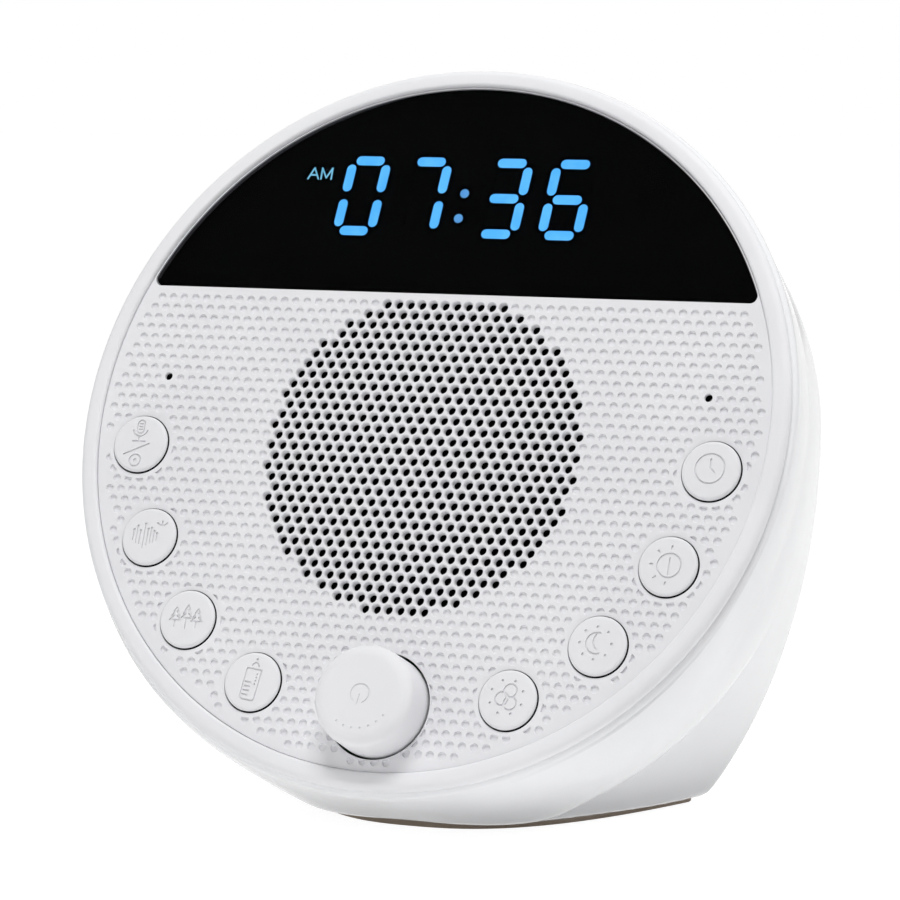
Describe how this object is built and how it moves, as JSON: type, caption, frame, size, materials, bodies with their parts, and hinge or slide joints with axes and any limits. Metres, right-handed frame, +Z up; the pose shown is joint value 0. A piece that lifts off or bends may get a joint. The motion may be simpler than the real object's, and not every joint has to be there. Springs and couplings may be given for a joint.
{
  "type": "white noise sound machine",
  "caption": "Tabletop sound machine with a round leaning face: clock display, perforated speaker grille, icon keys, push-and-turn knob and a milky lamp body on a flat base.",
  "frame": {"origin": "on the table, under the middle of the body's width and depth", "axes": "+X to the right seen from the front, +Y to the back, +Z up; the face looks along -Y and leans back 24 degrees"},
  "size_m": [0.1326, 0.0671, 0.1302],
  "materials": {
    "shell_white": "milky white, glossy",
    "cover_white": "white, fine satin",
    "trim_white": "white, satin",
    "panel_white": "white, fine matt",
    "key_white": "white, satin",
    "knob_white": "white, satin",
    "lens_black": "dark tinted, polished",
    "display_black": "black, matt",
    "segments_lit": "lit pale blue",
    "segments_dark": "unlit",
    "switch_grey": "plated",
    "steel": "zinc plated",
    "zinc": "zinc plated",
    "speaker_steel": "black paint",
    "ferrite": "sintered",
    "copper": "enamelled copper",
    "pin_brass": "plated brass",
    "board_green": "solder mask",
    "black_plastic": "matt",
    "black_rubber": "matt",
    "cone_paper": "pressed paper",
    "spider_cloth": "resin-dipped cloth",
    "strip_white": "white board",
    "led_amber": "clear with phosphor",
    "ribbon_grey": "grey",
    "wire_red": "insulated",
    "pad_rubber": "warm grey, matt"
  },
  "bodies": {
    "housing": {"bezel_ring": "trim_white", "front_panel": "panel_white", "display_lens": "lens_black", "display_module": "display_black", "segments_lit": "segments_lit", "segments_dark": "segments_dark", "switch_housings": "switch_grey", "encoder_housing": "zinc", "control_board": "board_green", "control_chips": "black_plastic", "board_screws": "steel", "microphones": "zinc", "microphone_boots": "black_rubber", "speaker_gasket": "black_rubber", "speaker_frame": "speaker_steel", "speaker_surround": "black_rubber", "speaker_cone": "cone_paper", "dust_cap": "cone_paper", "voice_coil": "copper", "speaker_spider": "spider_cloth", "speaker_plate": "zinc", "speaker_magnet": "ferrite", "speaker_yoke": "zinc", "speaker_screws": "steel", "light_strip": "strip_white", "light_leds": "led_amber", "main_shell": "shell_white", "rear_cover": "cover_white", "cover_screws": "steel", "main_board": "board_green", "main_chips": "black_plastic", "main_screws": "steel", "power_jack": "black_plastic", "jack_pin": "pin_brass", "ribbon_cable": "ribbon_grey", "speaker_wires": "wire_red", "base_pad": "pad_rubber"},
    "button_record": {"key_record": "key_white", "plunger_record": "black_plastic"},
    "button_nature": {"key_nature": "key_white", "plunger_nature": "black_plastic"},
    "button_forest": {"key_forest": "key_white", "plunger_forest": "black_plastic"},
    "button_lullaby": {"key_lullaby": "key_white", "plunger_lullaby": "black_plastic"},
    "button_clock": {"key_clock": "key_white", "plunger_clock": "black_plastic"},
    "button_sunrise": {"key_sunrise": "key_white", "plunger_sunrise": "black_plastic"},
    "button_night": {"key_night": "key_white", "plunger_night": "black_plastic"},
    "button_colour": {"key_colour": "key_white", "plunger_colour": "black_plastic"},
    "dial_push": {"encoder_plunger": "black_plastic"},
    "dial": {"knob": "knob_white", "encoder_shaft": "steel"}
  },
  "joints": [
    {"name": "press_record", "type": "slide", "parent": "housing", "child": "button_record", "axis": [0, 0.9135, -0.4067], "range_m": [0, 0.0005], "stiffness_N_per_m": 800},
    {"name": "press_nature", "type": "slide", "parent": "housing", "child": "button_nature", "axis": [0, 0.9135, -0.4067], "range_m": [0, 0.0005], "stiffness_N_per_m": 800},
    {"name": "press_forest", "type": "slide", "parent": "housing", "child": "button_forest", "axis": [0, 0.9135, -0.4067], "range_m": [0, 0.0005], "stiffness_N_per_m": 800},
    {"name": "press_lullaby", "type": "slide", "parent": "housing", "child": "button_lullaby", "axis": [0, 0.9135, -0.4067], "range_m": [0, 0.0005], "stiffness_N_per_m": 800},
    {"name": "press_clock", "type": "slide", "parent": "housing", "child": "button_clock", "axis": [0, 0.9135, -0.4067], "range_m": [0, 0.0005], "stiffness_N_per_m": 800},
    {"name": "press_sunrise", "type": "slide", "parent": "housing", "child": "button_sunrise", "axis": [0, 0.9135, -0.4067], "range_m": [0, 0.0005], "stiffness_N_per_m": 800},
    {"name": "press_night", "type": "slide", "parent": "housing", "child": "button_night", "axis": [0, 0.9135, -0.4067], "range_m": [0, 0.0005], "stiffness_N_per_m": 800},
    {"name": "press_colour", "type": "slide", "parent": "housing", "child": "button_colour", "axis": [0, 0.9135, -0.4067], "range_m": [0, 0.0005], "stiffness_N_per_m": 800},
    {"name": "dial_press", "type": "slide", "parent": "housing", "child": "dial_push", "axis": [0, 0.9135, -0.4067], "range_m": [0, 0.0005], "stiffness_N_per_m": 1500},
    {"name": "dial_turn", "type": "hinge", "parent": "dial_push", "child": "dial", "pos_m": [0, -0.02346, 0.02359], "axis": [0, -0.9135, 0.4067], "continuous": true}
  ]
}
